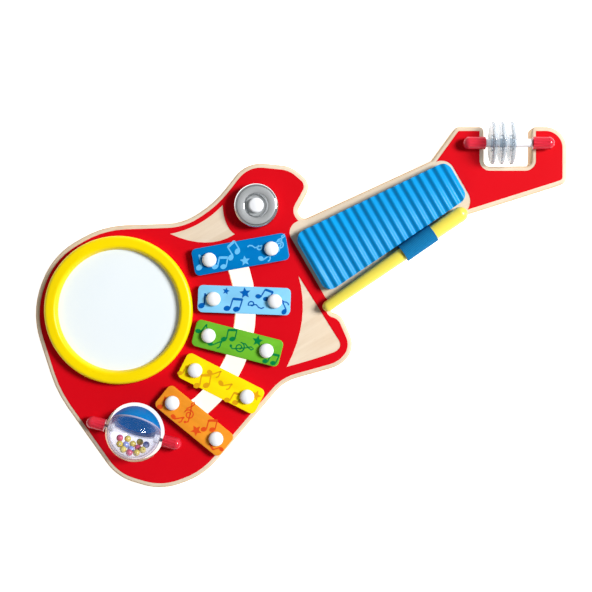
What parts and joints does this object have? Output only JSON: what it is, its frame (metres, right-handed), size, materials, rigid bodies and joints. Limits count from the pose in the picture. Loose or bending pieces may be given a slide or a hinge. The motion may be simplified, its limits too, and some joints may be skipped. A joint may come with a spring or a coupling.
{
  "type": "toy guitar",
  "caption": "Wooden toy guitar laid flat, with a drum, metal keys, a bell, a bead ball, clapping rings on a rod, a ribbed scraper and a drumstick held by an elastic loop.",
  "frame": {"origin": "on the plane of the board's back, under the middle of the board's box", "axes": "+X along the neck from the body to the headstock, +Z out of the painted face, +Y towards the side of the body with the bell"},
  "size_m": [0.4756, 0.2224, 0.046],
  "materials": {
    "wood": "clear satin lacquer on pale wood",
    "red_paint": "glossy red print",
    "white_plastic": "gloss",
    "drum_skin": "matt",
    "yellow_plastic": "satin",
    "steel": "zinc plated",
    "chrome": "polished, satin on the flat",
    "clear_plastic": "clear, polished",
    "blue_plastic": "gloss",
    "bead_plastic": "gloss",
    "red_plastic": "gloss, slightly clear",
    "stick_plastic": "satin",
    "elastic": "woven elastic",
    "felt": "felt",
    "key_paint_1": "gloss enamel",
    "key_paint_2": "gloss enamel",
    "key_paint_3": "gloss enamel",
    "key_paint_4": "gloss enamel",
    "key_paint_5": "gloss enamel"
  },
  "bodies": {
    "guitar": {"board": "wood", "face_paint": "red_paint", "drum_shell": "white_plastic", "drum_skin": "drum_skin", "drum_hoop": "yellow_plastic", "drum_screws": "steel", "key_1_pins": "white_plastic", "key_2_pins": "white_plastic", "key_3_pins": "white_plastic", "key_4_pins": "white_plastic", "key_5_pins": "white_plastic", "key_1_felts": "felt", "key_2_felts": "felt", "key_3_felts": "felt", "key_4_felts": "felt", "key_5_felts": "felt", "bell_post": "white_plastic", "bell_washer": "steel", "bell_screw": "steel", "bell_cap": "white_plastic", "ball_peg_left": "red_plastic", "ball_peg_right": "red_plastic", "rod_peg_left": "red_plastic", "rod_peg_right": "red_plastic", "peg_screws": "steel", "scraper_plate": "blue_plastic", "scraper_screws": "steel", "stick_loop": "elastic"},
    "key_body_1": {"key_1": "key_paint_1"},
    "key_body_2": {"key_2": "key_paint_2"},
    "key_body_3": {"key_3": "key_paint_3"},
    "key_body_4": {"key_4": "key_paint_4"},
    "key_body_5": {"key_5": "key_paint_5"},
    "bell": {"bell_gong": "chrome"},
    "ball": {"ball_clear_shell": "clear_plastic", "ball_blue_shell": "blue_plastic", "ball_divider": "clear_plastic", "ball_axle_pins": "steel"},
    "beads": {"ball_beads": "bead_plastic"},
    "rod": {"clapper_rod": "white_plastic"},
    "ring_1": {"clapper_ring_1": "clear_plastic"},
    "ring_2": {"clapper_ring_2": "clear_plastic"},
    "ring_3": {"clapper_ring_3": "clear_plastic"},
    "stick": {"drumstick": "stick_plastic"}
  },
  "joints": [
    {"name": "key_1_float", "type": "slide", "parent": "guitar", "child": "key_body_1", "axis": [0, 0, 1], "range_m": [0, 0.0007]},
    {"name": "key_2_float", "type": "slide", "parent": "guitar", "child": "key_body_2", "axis": [0, 0, 1], "range_m": [0, 0.0007]},
    {"name": "key_3_float", "type": "slide", "parent": "guitar", "child": "key_body_3", "axis": [0, 0, 1], "range_m": [0, 0.0007]},
    {"name": "key_4_float", "type": "slide", "parent": "guitar", "child": "key_body_4", "axis": [0, 0, 1], "range_m": [0, 0.0007]},
    {"name": "key_5_float", "type": "slide", "parent": "guitar", "child": "key_body_5", "axis": [0, 0, 1], "range_m": [0, 0.0007]},
    {"name": "bell_spin", "type": "hinge", "parent": "guitar", "child": "bell", "pos_m": [-0.01487, 0.0607, 0.0259], "axis": [0, 0, 1], "continuous": true},
    {"name": "ball_spin", "type": "hinge", "parent": "guitar", "child": "ball", "pos_m": [-0.19837, -0.0526, 0.0235], "axis": [0.7133, -0.7009, 0], "continuous": true},
    {"name": "beads_tumble", "type": "hinge", "parent": "ball", "child": "beads", "pos_m": [-0.19837, -0.0526, 0.0235], "axis": [-0.7133, 0.7009, 0], "range_deg": [0, 130]},
    {"name": "rod_spin", "type": "hinge", "parent": "guitar", "child": "rod", "pos_m": [0.19405, 0.00055, 0.0235], "axis": [0.866, -0.5, 0], "continuous": true},
    {"name": "ring_1_slide", "type": "slide", "parent": "rod", "child": "ring_1", "axis": [0.866, -0.5, 0], "range_m": [-0.0013, 0.003]},
    {"name": "ring_2_slide", "type": "slide", "parent": "rod", "child": "ring_2", "axis": [0.866, -0.5, 0], "range_m": [-0.0006, 0.0042]},
    {"name": "ring_3_slide", "type": "slide", "parent": "rod", "child": "ring_3", "axis": [0.866, -0.5, 0], "range_m": [-0.0001, 0.013]},
    {"name": "stick_draw", "type": "slide", "parent": "guitar", "child": "stick", "axis": [0.9966, 0.0828, 0], "range_m": [0, 0.055]}
  ]
}
